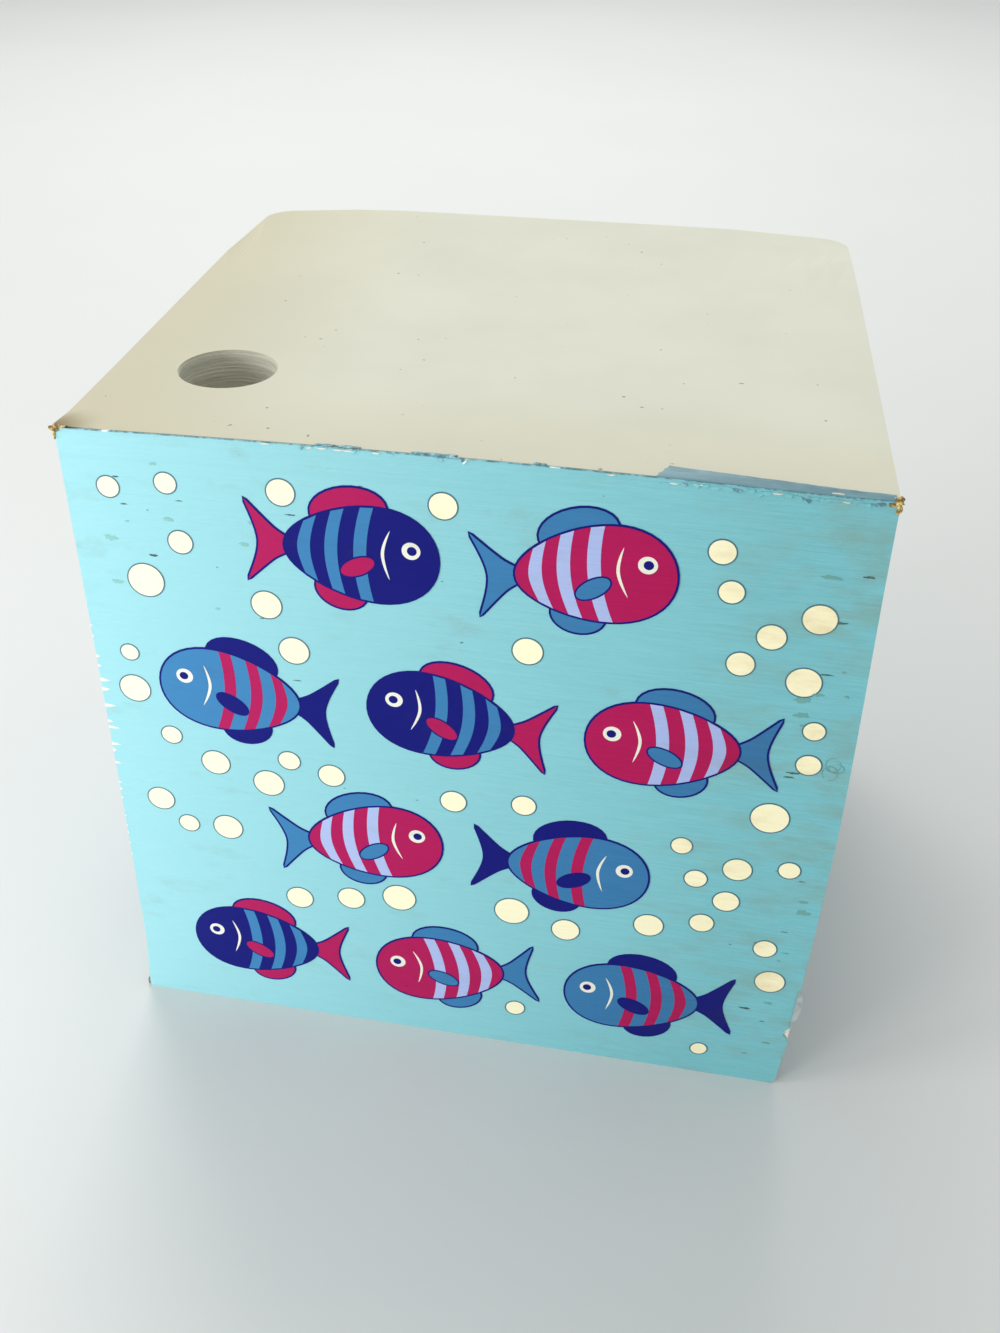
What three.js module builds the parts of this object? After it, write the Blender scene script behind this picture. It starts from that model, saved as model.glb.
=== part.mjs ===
// Side-printed memo cube: a stack of paper sheets held by a flexible glue film on its front face,
// with a pen hole drilled down through the stack. Millimetres, +Z up.
// The origin is on the table, under the centre of the block. The glued, printed face looks towards -Y.
import * as THREE from 'three';

// ---- Driving dimensions -------------------------------------------------------------------------

const CUBE_WIDTH = 90;
const CUBE_DEPTH = 86;
const CUBE_HEIGHT = 90;

const BOARD_THICKNESS = 1;
const SHEET_THICKNESS = 0.1;
const FILM_THICKNESS = 0.4;

// The stack below the top sheet is divided evenly into packs, and the packs into three blocks.
const PACK_COUNT = 36;
const LOWER_OPENING_PACK = 12;
const UPPER_OPENING_PACK = 24;

// Pen hole, drilled through every sheet and stopped by the backing board.
const HOLE_DIAMETER = 12;
const HOLE_FROM_LEFT = 13.8;
const HOLE_FROM_FRONT = 19.6;
const HOLE_SEGMENTS = 48;

// The free back corners are nearly sharp low down and worn round towards the top.
const BACK_CORNER_RADIUS = 0.8;
const WORN_CORNER_RADIUS = 4;
const WORN_HEIGHT = 22;
const CORNER_SEGMENTS = 6;

// Strip of torn film folded back on the top sheet. It tapers towards the right.
const FLAP_THICKNESS = 0.15;
const FLAP_FROM_RIGHT = 0.4;
const FLAP_LENGTH = 23;
const FLAP_LEFT_SLANT = 1;
const FLAP_LEFT_WIDTH = 2.8;
const FLAP_RIGHT_WIDTH = 1.2;

// ---- Derived positions --------------------------------------------------------------------------

const LEFT_X = -CUBE_WIDTH / 2;
const RIGHT_X = CUBE_WIDTH / 2;
const FRONT_Y = -CUBE_DEPTH / 2;
const BACK_Y = CUBE_DEPTH / 2;
const PAPER_FRONT_Y = FRONT_Y + FILM_THICKNESS;

const HOLE_X = LEFT_X + HOLE_FROM_LEFT;
const HOLE_Y = FRONT_Y + HOLE_FROM_FRONT;

const SHEET_BOTTOM_Z = CUBE_HEIGHT - SHEET_THICKNESS;
const PACK_THICKNESS = (SHEET_BOTTOM_Z - BOARD_THICKNESS) / PACK_COUNT;

// Height of the underside of a pack; pack numbers start at 0.
function packLevel(index) {
  return index === PACK_COUNT ? SHEET_BOTTOM_Z : BOARD_THICKNESS + index * PACK_THICKNESS;
}

// Radius of the back corners at a height: it eases from the sharp value to the worn value.
function backCornerRadius(z) {
  const t = THREE.MathUtils.smoothstep(z, CUBE_HEIGHT - WORN_HEIGHT, CUBE_HEIGHT);
  return THREE.MathUtils.lerp(BACK_CORNER_RADIUS, WORN_CORNER_RADIUS, t);
}

// ---- Materials ----------------------------------------------------------------------------------

const paper = new THREE.MeshStandardMaterial({ name: 'memo_paper', color: 0xd5d1be, roughness: 0.85 });
const board = new THREE.MeshStandardMaterial({ name: 'greyboard', color: 0x8f8b80, roughness: 0.95 });
const film = new THREE.MeshStandardMaterial({ name: 'printed_film', color: 0x8fd3df, roughness: 0.45 });

// ---- Shapes -------------------------------------------------------------------------------------

// Outline of one sheet, seen from above: square front corners, rounded back corners.
function sheetOutline(cornerRadius) {
  const r = cornerRadius;
  const outline = new THREE.Shape();
  outline.moveTo(LEFT_X, PAPER_FRONT_Y);
  outline.lineTo(RIGHT_X, PAPER_FRONT_Y);
  outline.lineTo(RIGHT_X, BACK_Y - r);
  outline.absarc(RIGHT_X - r, BACK_Y - r, r, 0, Math.PI / 2, false);
  outline.lineTo(LEFT_X + r, BACK_Y);
  outline.absarc(LEFT_X + r, BACK_Y - r, r, Math.PI / 2, Math.PI, false);
  outline.lineTo(LEFT_X, PAPER_FRONT_Y);
  return outline;
}

function drilled(outline) {
  const bore = [];
  for (let i = 0; i < HOLE_SEGMENTS; i += 1) {
    const a = (-2 * Math.PI * i) / HOLE_SEGMENTS;
    bore.push(new THREE.Vector2(
      HOLE_X + (HOLE_DIAMETER / 2) * Math.cos(a),
      HOLE_Y + (HOLE_DIAMETER / 2) * Math.sin(a),
    ));
  }
  outline.holes.push(new THREE.Path(bore));
  return outline;
}

// A flat layer with the given outline between two heights. Layers that share a height meet exactly.
function layer(name, outline, lowZ, highZ, material) {
  const geometry = new THREE.ExtrudeGeometry(outline, {
    depth: 1,
    bevelEnabled: false,
    curveSegments: CORNER_SEGMENTS,
  });
  const position = geometry.attributes.position;
  for (let i = 0; i < position.count; i += 1) {
    position.setZ(i, position.getZ(i) < 0.5 ? lowZ : highZ);
  }
  geometry.computeVertexNormals();
  const mesh = new THREE.Mesh(geometry, material);
  mesh.name = name;
  return mesh;
}

function rectangle(lowX, highX, lowY, highY) {
  return new THREE.Shape([
    new THREE.Vector2(lowX, lowY),
    new THREE.Vector2(highX, lowY),
    new THREE.Vector2(highX, highY),
    new THREE.Vector2(lowX, highY),
  ]);
}

// ---- Assembly -----------------------------------------------------------------------------------

const cube = new THREE.Group();
cube.name = 'memo_cube';

// Backing board, undrilled, so that it closes the bottom of the pen hole.
cube.add(layer('backing_board', sheetOutline(BACK_CORNER_RADIUS), 0, BOARD_THICKNESS, board));

// Sheet packs, numbered from the bottom.
for (let i = 0; i < PACK_COUNT; i += 1) {
  const outline = drilled(sheetOutline(backCornerRadius(packLevel(i + 1))));
  const name = `sheet_pack_${String(i + 1).padStart(2, '0')}`;
  cube.add(layer(name, outline, packLevel(i), packLevel(i + 1), paper));
}

// The single sheet on top.
cube.add(layer(
  'top_sheet', drilled(sheetOutline(backCornerRadius(CUBE_HEIGHT))), SHEET_BOTTOM_Z, CUBE_HEIGHT, paper,
));

// Glue film on the front face, one length per block of the stack and a sliver for the top sheet.
const filmLengths = [
  ['glue_film_lower', 0, packLevel(LOWER_OPENING_PACK)],
  ['glue_film_middle', packLevel(LOWER_OPENING_PACK), packLevel(UPPER_OPENING_PACK)],
  ['glue_film_upper', packLevel(UPPER_OPENING_PACK), SHEET_BOTTOM_Z],
  ['glue_edge_top', SHEET_BOTTOM_Z, CUBE_HEIGHT],
];
for (const [name, lowZ, highZ] of filmLengths) {
  cube.add(layer(name, rectangle(LEFT_X, RIGHT_X, FRONT_Y, PAPER_FRONT_Y), lowZ, highZ, film));
}

// Torn film, folded back flat on the top sheet.
const flapRightX = RIGHT_X - FLAP_FROM_RIGHT;
const flapLeftX = flapRightX - FLAP_LENGTH;
const flapOutline = new THREE.Shape([
  new THREE.Vector2(flapLeftX, FRONT_Y),
  new THREE.Vector2(flapRightX, FRONT_Y),
  new THREE.Vector2(flapRightX, FRONT_Y + FLAP_RIGHT_WIDTH),
  new THREE.Vector2(flapLeftX + FLAP_LEFT_SLANT, FRONT_Y + FLAP_LEFT_WIDTH),
]);
cube.add(layer('folded_film_flap', flapOutline, CUBE_HEIGHT, CUBE_HEIGHT + FLAP_THICKNESS, film));

export default cube;
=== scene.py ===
"""Looks for a side-printed memo cube: an old, slightly slumped stack of note paper, glued and printed on its
front face, with a pen hole drilled down through it. Lengths are in millimetres unless they say metres."""

import math

import bmesh
import bpy
import numpy as np
from mathutils import Matrix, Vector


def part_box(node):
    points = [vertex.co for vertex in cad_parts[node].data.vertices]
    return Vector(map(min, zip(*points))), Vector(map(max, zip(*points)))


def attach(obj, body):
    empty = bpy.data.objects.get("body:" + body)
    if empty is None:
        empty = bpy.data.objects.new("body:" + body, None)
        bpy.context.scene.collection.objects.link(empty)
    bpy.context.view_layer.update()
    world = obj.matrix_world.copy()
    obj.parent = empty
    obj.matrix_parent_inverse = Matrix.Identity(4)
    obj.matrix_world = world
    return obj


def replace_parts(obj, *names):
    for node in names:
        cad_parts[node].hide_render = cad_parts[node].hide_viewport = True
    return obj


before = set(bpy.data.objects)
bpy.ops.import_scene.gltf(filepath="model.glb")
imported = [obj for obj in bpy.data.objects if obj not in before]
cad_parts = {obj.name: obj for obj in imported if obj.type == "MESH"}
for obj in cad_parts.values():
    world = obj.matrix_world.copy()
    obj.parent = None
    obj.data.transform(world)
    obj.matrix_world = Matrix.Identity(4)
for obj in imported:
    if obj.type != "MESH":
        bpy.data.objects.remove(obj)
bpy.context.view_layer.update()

MM = 0.001

# ---- Table, light and camera --------------------------------------------------------------------
# A plain pale table top under soft studio light: a broad window-like light from the front left, a dimmer one
# overhead and an even grey surround. The camera stands close to the front right corner and looks down on it.

scene = bpy.context.scene
scene.view_settings.view_transform = "Standard"

camera_place = (21.3, -167.8, 153.9)
camera_turn_left = math.radians(11.52)
camera_look_down = math.radians(34.21)
camera_roll = math.radians(-0.3)
camera_data = bpy.data.cameras.new("camera")
camera_data.sensor_width = 36.0
camera_data.lens = 36.26
camera_data.shift_x = 0.0622
camera_data.shift_y = -0.0209
camera_data.clip_start = 0.01
camera_data.dof.use_dof = False
camera = bpy.data.objects.new("camera", camera_data)
scene.collection.objects.link(camera)
camera.matrix_world = (
    Matrix.Translation([c * MM for c in camera_place])
    @ Matrix.Rotation(camera_turn_left, 4, "Z")
    @ Matrix.Rotation(math.pi / 2 - camera_look_down, 4, "X")
    @ Matrix.Rotation(camera_roll, 4, "Z")
)
scene.camera = camera


def area_light(name, place_m, aim_m, size_m, watts, colour):
    """A square soft light of a side in metres, at a place and turned to face the point it is aimed at."""
    data = bpy.data.lights.new(name, "AREA")
    data.shape = "SQUARE"
    data.size = size_m
    data.energy = watts
    data.color = colour
    light = bpy.data.objects.new(name, data)
    scene.collection.objects.link(light)
    away = np.array(place_m) - np.array(aim_m)
    turn = math.atan2(away[0], -away[1])
    lean = math.atan2(math.hypot(away[0], away[1]), away[2])
    light.matrix_world = (
        Matrix.Translation(place_m) @ Matrix.Rotation(turn, 4, "Z") @ Matrix.Rotation(lean, 4, "X")
    )
    return light


area_light("side_light", (-0.42, -0.22, 0.22), (-0.02, -0.04, 0.05), 0.16, 0.75, (1.0, 1.0, 1.0))
area_light("near_left_light", (-0.20, -0.28, 0.09), (-0.03, -0.04, 0.05), 0.10, 0.47, (1.0, 1.0, 1.0))
area_light("back_light", (-0.15, 0.56, 0.72), (0.0, 0.10, 0.03), 0.6, 5.0, (1.0, 0.995, 0.97))
surround = bpy.data.worlds.new("surround")
surround.use_nodes = True
surround.node_tree.nodes["Background"].inputs["Color"].default_value = (0.97, 1.0, 1.0, 1.0)
surround.node_tree.nodes["Background"].inputs["Strength"].default_value = 0.60
scene.world = surround


def new_material(name, roughness, specular=0.5):
    """An empty node material with a principled shader; gives the material, its nodes, links and shader."""
    material = bpy.data.materials.new(name)
    material.use_nodes = True
    nodes = material.node_tree.nodes
    links = material.node_tree.links
    shader = nodes["Principled BSDF"]
    shader.inputs["Roughness"].default_value = roughness
    shader.inputs["Specular IOR Level"].default_value = specular
    return material, nodes, links, shader


def object_noise(nodes, links, stretch, scale, detail=2.0, roughness=0.5, place=(0.0, 0.0, 0.0)):
    """Noise on the piece's own coordinates: stretched along each axis, then scaled per metre."""
    coordinates = nodes.new("ShaderNodeTexCoord")
    mapping = nodes.new("ShaderNodeMapping")
    mapping.inputs["Scale"].default_value = stretch
    mapping.inputs["Location"].default_value = place
    noise = nodes.new("ShaderNodeTexNoise")
    noise.inputs["Scale"].default_value = scale
    noise.inputs["Detail"].default_value = detail
    noise.inputs["Roughness"].default_value = roughness
    links.new(coordinates.outputs["Object"], mapping.inputs["Vector"])
    links.new(mapping.outputs["Vector"], noise.inputs["Vector"])
    return noise.outputs["Fac"]


def band_of(nodes, links, value, low, high, smooth=True):
    """How far a value has gone from low to high, from 0 to 1; low may be above high."""
    remap = nodes.new("ShaderNodeMapRange")
    remap.interpolation_type = "SMOOTHSTEP" if smooth else "LINEAR"
    remap.inputs["From Min"].default_value = low
    remap.inputs["From Max"].default_value = high
    links.new(value, remap.inputs["Value"])
    return remap.outputs["Result"]


def mixed(nodes, links, share, first, second):
    """Colour that goes from first to second with a share from 0 to 1; each is a colour or a socket."""
    mix = nodes.new("ShaderNodeMix")
    mix.data_type = "RGBA"
    if isinstance(share, float):
        mix.inputs["Factor"].default_value = share
    else:
        links.new(share, mix.inputs["Factor"])
    for socket, colour in ((mix.inputs[6], first), (mix.inputs[7], second)):
        if isinstance(colour, tuple):
            socket.default_value = (*colour, 1.0)
        else:
            links.new(colour, socket)
    return mix.outputs[2]


def times(nodes, links, first, second):
    """Product of two values; each is a number or a socket."""
    product = nodes.new("ShaderNodeMath")
    product.operation = "MULTIPLY"
    for socket, value in ((product.inputs[0], first), (product.inputs[1], second)):
        if isinstance(value, float):
            socket.default_value = value
        else:
            links.new(value, socket)
    return product.outputs["Value"]


def patterned(nodes, links, pattern, low, high, first, second, share=None):
    """Colour that goes from first to second as a pattern goes from low to high, at most by a share."""
    amount = band_of(nodes, links, pattern, low, high)
    if share is not None:
        amount = times(nodes, links, amount, share)
    return mixed(nodes, links, amount, first, second)


def bumped(nodes, links, shader, height, distance_m, strength=1.0):
    """Gives a shader a bump from a height socket, with its depth in metres."""
    bump = nodes.new("ShaderNodeBump")
    bump.inputs["Distance"].default_value = distance_m
    bump.inputs["Strength"].default_value = strength
    links.new(height, bump.inputs["Height"])
    links.new(bump.outputs["Normal"], shader.inputs["Normal"])


def mesh_piece(name, vertices_mm, faces, materials, face_material=None):
    """A mesh object at the origin, from an array of points in millimetres and faces as rows of point numbers."""
    mesh = bpy.data.meshes.new(name)
    mesh.from_pydata(np.asarray(vertices_mm, float) * MM, [], faces)
    for material in materials:
        mesh.materials.append(material)
    if face_material is not None:
        mesh.polygons.foreach_set("material_index", np.asarray(face_material, np.int32))
    mesh.update()
    piece = bpy.data.objects.new(name, mesh)
    scene.collection.objects.link(piece)
    return piece


table_half = 4000.0
table_material, nodes, links, shader = new_material("table_top", 0.6, 0.3)
mottle = object_noise(nodes, links, (1.0, 1.0, 1.0), 9.0, 3.0)
links.new(mixed(nodes, links, mottle, (0.635, 0.645, 0.635), (0.68, 0.69, 0.68)), shader.inputs["Base Color"])
table_corners = np.array([[-1, -1, 0], [1, -1, 0], [1, 1, 0], [-1, 1, 0]]) * table_half
table = mesh_piece("table_top", table_corners, [(0, 1, 2, 3)], [table_material])

# ---- Backing board ------------------------------------------------------------------------------
# A sheet of stiff greyboard glued under the stack. It is pressed from waste paper, so it is speckled with
# darker and paler fibres and its surface is slightly rough. The CAD solid is its real shape and stays.

board_grey = (0.30, 0.285, 0.25)
board_dark = (0.17, 0.16, 0.145)
board_pale = (0.47, 0.45, 0.40)
board_material, nodes, links, shader = new_material("greyboard", 0.92, 0.2)
fibres = object_noise(nodes, links, (1.0, 0.35, 1.0), 2600.0, 4.0, 0.7)
flecks = object_noise(nodes, links, (0.4, 1.0, 1.0), 1500.0, 3.0, 0.6, (3.0, 1.0, 0.0))
grey = patterned(nodes, links, fibres, 0.35, 0.7, board_dark, board_grey)
grey = patterned(nodes, links, flecks, 0.56, 0.7, grey, board_pale)
links.new(grey, shader.inputs["Base Color"])
bumped(nodes, links, shader, fibres, 0.00006)
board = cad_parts["backing_board"]
board.data.materials.clear()
board.data.materials.append(board_material)

# ---- Sheets of paper ----------------------------------------------------------------------------
# Some nine hundred sheets of off-white memo paper, cut in one block and drilled through. The knocked-up edges
# lie a few hundredths of a millimetre in and out, and the back corners are worn round near the top.

board_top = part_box("backing_board")[1][2] / MM
lower_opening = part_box("sheet_pack_12")[1][2] / MM
upper_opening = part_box("sheet_pack_24")[1][2] / MM
stack_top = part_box("sheet_pack_36")[1][2] / MM
sheet_low, sheet_high = (np.array(corner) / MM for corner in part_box("top_sheet"))
left_x, paper_front_y = sheet_low[:2]
right_x, back_y = sheet_high[:2]
cube_height = sheet_high[2]
front_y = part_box("glue_film_lower")[0][1] / MM

hole_centre = np.array([-31.2, -23.4])
hole_radius = 6.0
sheet_thickness = 0.1
sharp_corner_radius = 0.8
worn_corner_radius = 4.0
worn_height = 22.0
front_corner_radius = 0.15


def eased(value):
    """Smooth step: three value squared less two value cubed, with the value held between 0 and 1."""
    value = np.clip(value, 0.0, 1.0)
    return value * value * (3.0 - 2.0 * value)


def settled(points):
    """The slump of an old stack. Sheets move right by up to 0.9 mm towards the bottom and spread 0.6 mm at mid
    height on the right. Above the upper opening the glued front edge swells upwards in a low arch, strongest
    left of the middle, the top dips a little behind it, and the two free back corners droop."""
    moved = np.array(points, float)
    x, y, z = moved[..., 0], moved[..., 1], moved[..., 2]
    height = z / cube_height
    across = (x - left_x) / (right_x - left_x)
    slide = 0.9 * (1.0 - height**2) * (0.45 + 0.55 * eased(height / 0.12))
    spread = 0.6 * across * np.sin(np.pi * np.clip(height, 0, 1)) ** 2
    rise = eased((z - upper_opening) / (cube_height - upper_opening))
    arch = 0.62 * np.clip(1.0 - ((x + 5.0) / 44.0) ** 2, 0, 1) * np.exp(-(((y - front_y) / 13.0) ** 2))
    dip = 0.22 * np.exp(-((x - 6.0) ** 2 + (y - 6.0) ** 2) / 30.0**2)
    left_droop = 1.1 * np.exp(-((x - left_x) ** 2 + (y - back_y) ** 2) / 12.0**2)
    right_droop = 0.8 * np.exp(-((x - right_x) ** 2 + (y - back_y) ** 2) / 11.0**2)
    moved[..., 0] = x + slide + spread
    moved[..., 2] = z + rise * (arch - dip - left_droop - right_droop)
    return moved


def outline_reach(angles, corner_radius):
    """Distance from the hole's centre to the sheet's outline at each angle: the nearest of the four sides, or the
    circle of a rounded corner where the ray meets one. Angles run along columns, corner radii along rows."""
    ray = np.stack([np.cos(angles), np.sin(angles)])[:, None, :]
    radius = np.asarray(corner_radius, float)[:, None]
    with np.errstate(divide="ignore"):
        to_x = np.where(ray[0] > 0, (right_x - hole_centre[0]) / ray[0], (left_x - hole_centre[0]) / ray[0])
        edge_y = np.where(ray[1] > 0, back_y, paper_front_y)
        to_y = (edge_y - hole_centre[1]) / ray[1]
    to_x, to_y = (np.where(np.abs(part) < 1e-9, np.inf, to) for part, to in ((ray[0], to_x), (ray[1], to_y)))
    reach = np.minimum(to_x, to_y)
    reach = np.broadcast_to(reach, (radius.shape[0], angles.size)).copy()
    for side_x, side_y in ((-1, -1), (1, -1), (1, 1), (-1, 1)):
        r = radius if side_y > 0 else np.full_like(radius, front_corner_radius)
        corner = np.stack(
            [(right_x if side_x > 0 else left_x) - side_x * r,
             (back_y if side_y > 0 else paper_front_y) - side_y * r]
        )
        offset = corner - hole_centre[:, None, None]
        end = reach * ray + hole_centre[:, None, None]
        inside = (side_x * (end[0] - corner[0]) > 0) & (side_y * (end[1] - corner[1]) > 0)
        along = (ray * offset).sum(0)
        under = along**2 - ((offset**2).sum(0) - r**2)
        reach = np.where(inside, along + np.sqrt(np.clip(under, 0, None)), reach)
    return reach


def corner_angles(x, y, radius, count):
    """Directions from the hole's centre to points spread over a rounded corner."""
    centre = np.array([x - np.sign(x) * radius, y - np.sign(y) * radius])
    start = math.atan2(np.sign(y), np.sign(x)) - math.pi / 4
    arc = start + np.linspace(0, math.pi / 2, count)
    points = centre[:, None] + radius * np.stack([np.cos(arc), np.sin(arc)])
    return np.arctan2(points[1] - hole_centre[1], points[0] - hole_centre[0])


ring_angles = np.unique(
    np.round(
        np.mod(
            np.concatenate(
                [
                    np.linspace(0, 2 * math.pi, 60, endpoint=False),
                    corner_angles(left_x, paper_front_y, front_corner_radius, 3),
                    corner_angles(right_x, paper_front_y, front_corner_radius, 3),
                    corner_angles(right_x, back_y, worn_corner_radius, 7),
                    corner_angles(left_x, back_y, worn_corner_radius, 7),
                ]
            ),
            2 * math.pi,
        ),
        5,
    )
)


def corner_radius_at(z):
    """Radius of the back corners: sharp low down, easing to the worn radius over the top of the stack."""
    worn = eased((z - (cube_height - worn_height)) / worn_height)
    return sharp_corner_radius + (worn_corner_radius - sharp_corner_radius) * worn


def ring_points(share, z, shift, inset):
    """Rings round the pen hole. A point lies a share of the way from the hole's edge to the sheet's outline, at a
    height, moved with its sheet, and drawn back from both edges by an inset. One row for each ring."""
    reach = outline_reach(ring_angles, corner_radius_at(z)) - inset[:, None]
    near = hole_radius + inset[:, None]
    distance = near + share[:, None] * (reach - near)
    x = hole_centre[0] + distance * np.cos(ring_angles) + shift[:, :1]
    y = hole_centre[1] + distance * np.sin(ring_angles) + shift[:, 1:]
    return np.stack([x, y, np.broadcast_to(z[:, None], x.shape)], axis=-1)


def ring_faces(rings, points):
    """Quads of a grid that closes on itself both ways: each ring joined to the next, and the last to the first."""
    ring, point = np.meshgrid(np.arange(rings), np.arange(points), indexing="ij")
    after, beside = (ring + 1) % rings, (point + 1) % points
    corners = [ring * points + point, after * points + point, after * points + beside, ring * points + beside]
    return np.stack(corners, axis=-1).reshape(-1, 4)


opening_gap = 0.002
cap_shares = np.linspace(0, 1, 22)[1:-1]
paper_colour = (0.660, 0.658, 0.552)
paper_yellow = (0.55, 0.50, 0.345)
ink_ground = (0.205, 0.520, 0.565)
ink_ground_deep = (0.175, 0.475, 0.525)


def paper_finish(name, aged_edges):
    """Uncoated paper: soft mottle and fine fibres; with aged edges it also has a few dark specks and yellows to the
    left and front, where it was handled most."""
    material, nodes, links, shader = new_material(name, 0.85, 0.25)
    cloud = object_noise(nodes, links, (1.0, 1.0, 1.0), 45.0, 4.0, 0.55)
    fibre = object_noise(nodes, links, (1.0, 1.0, 1.0), 5200.0, 3.0, 0.7)
    darker_paper = tuple(0.93 * c for c in paper_colour)
    colour = patterned(nodes, links, cloud, 0.3, 0.75, paper_colour, darker_paper)
    if aged_edges:
        place = nodes.new("ShaderNodeTexCoord")
        split = nodes.new("ShaderNodeSeparateXYZ")
        links.new(place.outputs["Object"], split.inputs["Vector"])
        to_left = band_of(nodes, links, split.outputs["X"], -0.012, -0.047)
        to_front = band_of(nodes, links, split.outputs["Y"], -0.020, -0.046)
        colour = mixed(nodes, links, times(nodes, links, to_left, 0.65), colour, paper_yellow)
        colour = mixed(nodes, links, times(nodes, links, to_front, 0.35), colour, paper_yellow)
        at_corner = times(
            nodes, links, band_of(nodes, links, split.outputs["X"], -0.0395, -0.0452),
            band_of(nodes, links, split.outputs["Y"], -0.0375, -0.0430),
        )
        colour = mixed(nodes, links, times(nodes, links, at_corner, 0.85), colour, (0.23, 0.155, 0.07))
        speck = object_noise(nodes, links, (1.0, 1.0, 1.0), 900.0, 1.0, 0.5, (0.4, 0.2, 0.0))
        colour = patterned(nodes, links, speck, 0.775, 0.80, colour, (0.20, 0.15, 0.09), 0.7)
    links.new(colour, shader.inputs["Base Color"])
    bumped(nodes, links, shader, fibre, 0.00002, 0.6)
    return material


paper_material = paper_finish("memo_paper", False)

# The drilled wall shows every sheet: greyer than the faces, with a tone of its own for each few sheets.
drilled_material, nodes, links, shader = new_material("drilled_paper", 0.9, 0.2)
strata = object_noise(nodes, links, (0.02, 0.02, 1.0), 3400.0, 3.0, 0.8)
links.new(
    patterned(nodes, links, strata, 0.3, 0.7, (0.52, 0.51, 0.43), (0.74, 0.725, 0.62)),
    shader.inputs["Base Color"],
)

# The outer edges are printed light blue. The ink is rubbed thin along single sheets, so paler lines show.
edge_material, nodes, links, shader = new_material("printed_sheet_edges", 0.55, 0.4)
strata = object_noise(nodes, links, (0.03, 0.03, 1.0), 3600.0, 3.0, 0.75)
worn = object_noise(nodes, links, (0.12, 0.12, 1.0), 900.0, 4.0, 0.65, (0.0, 0.3, 0.1))
colour = patterned(nodes, links, strata, 0.3, 0.7, ink_ground_deep, ink_ground)
colour = patterned(nodes, links, worn, 0.66, 0.74, colour, (0.70, 0.74, 0.68), 0.75)
links.new(colour, shader.inputs["Base Color"])

# Under the film on the front the edges are bare, and they show white where the film is nicked.
bare_material, nodes, links, shader = new_material("bare_sheet_edges", 0.8, 0.2)
strata = object_noise(nodes, links, (0.03, 0.03, 1.0), 3600.0, 3.0, 0.75)
links.new(
    patterned(nodes, links, strata, 0.3, 0.7, (0.74, 0.73, 0.66), (0.86, 0.86, 0.81)),
    shader.inputs["Base Color"],
)
outline_y = hole_centre[1] + outline_reach(ring_angles, [sharp_corner_radius])[0] * np.sin(ring_angles)
at_front = outline_y < paper_front_y + 2 * front_corner_radius
under_film = at_front & np.roll(at_front, -1)

sheet_random = np.random.default_rng(31)


def sheet_stack(name, low, high, nodes_replaced, body):
    """A block of sheets as one closed surface: up the hole's wall, out over the top, down the outer edges and back
    under. Each sheet bulges at its middle and draws in at the joint with the next, and is shifted at random by a
    few hundredths of a millimetre, with a slower random drift from one handful of sheets to the next."""
    count = int(round((high - low) / sheet_thickness))
    levels = np.linspace(low + opening_gap, high - opening_gap, 2 * count + 1)
    jitter = sheet_random.normal(0, 0.022, (count, 2))
    drift = np.repeat(sheet_random.normal(0, 0.03, (count // 12 + 2, 2)), 12, axis=0)[:count]
    shift = np.clip(jitter + drift, -0.06, 0.06)
    shift = np.concatenate([np.repeat(shift, 2, axis=0), shift[-1:]])
    inset = np.where(np.arange(2 * count + 1) % 2 == 0, 0.035, 0.0)
    caps = cap_shares.size
    share = np.concatenate([np.zeros(levels.size), cap_shares, np.ones(levels.size), cap_shares[::-1]])
    z = np.concatenate([levels, np.full(caps, levels[-1]), levels[::-1], np.full(caps, levels[0])])
    ring_shift = np.concatenate([shift, np.repeat(shift[-1:], caps, 0), shift[::-1], np.repeat(shift[:1], caps, 0)])
    ring_inset = np.concatenate([inset, np.zeros(caps), inset[::-1], np.zeros(caps)])
    points = settled(ring_points(share, z, ring_shift, ring_inset))
    faces = ring_faces(share.size, ring_angles.size)
    finish = np.concatenate(
        [np.full(levels.size - 1, 1), np.zeros(caps + 1), np.full(levels.size - 1, 2), np.zeros(caps + 1)]
    )
    finish = np.where((finish[:, None] == 2) & under_film, 3, finish[:, None])
    piece = mesh_piece(
        name, points.reshape(-1, 3), faces.tolist(), [paper_material, drilled_material, edge_material, bare_material],
        finish.ravel(),
    )
    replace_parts(piece, *nodes_replaced)
    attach(piece, body)
    return piece


def pack_names(first, last):
    return [f"sheet_pack_{number:02d}" for number in range(first, last + 1)]


sheet_stack("sheets_lower", board_top, lower_opening, pack_names(1, 12), "lower_block")
sheet_stack("sheets_middle", lower_opening, upper_opening, pack_names(13, 24), "middle_block")
sheet_stack("sheets_upper", upper_opening, stack_top, pack_names(25, 36), "upper_block")

# ---- Top sheet ----------------------------------------------------------------------------------
# The sheet that is written on next. It lies on the stack and follows its slump, and has yellowed on its left
# and front edges. Its front left corner is bent up by a fraction of a millimetre.

top_material = paper_finish("aged_top_paper", True)
steps = np.linspace(0, 1, 22)
share = np.concatenate([steps, steps[::-1]])
z = np.concatenate([np.full(steps.size, cube_height), np.full(steps.size, stack_top)])
no_shift = np.zeros((share.size, 2))
points = settled(ring_points(share, z, no_shift, np.zeros(share.size)))
corner_height, corner_width = 0.35, 2.2
from_corner = np.hypot(points[..., 0] - left_x, points[..., 1] - paper_front_y)
points[..., 2] += corner_height * np.exp(-((from_corner / corner_width) ** 2))
top_sheet = mesh_piece(
    "top_sheet_paper", points.reshape(-1, 3), ring_faces(share.size, ring_angles.size).tolist(), [top_material]
)
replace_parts(top_sheet, "top_sheet")
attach(top_sheet, "top_leaf")

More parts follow.
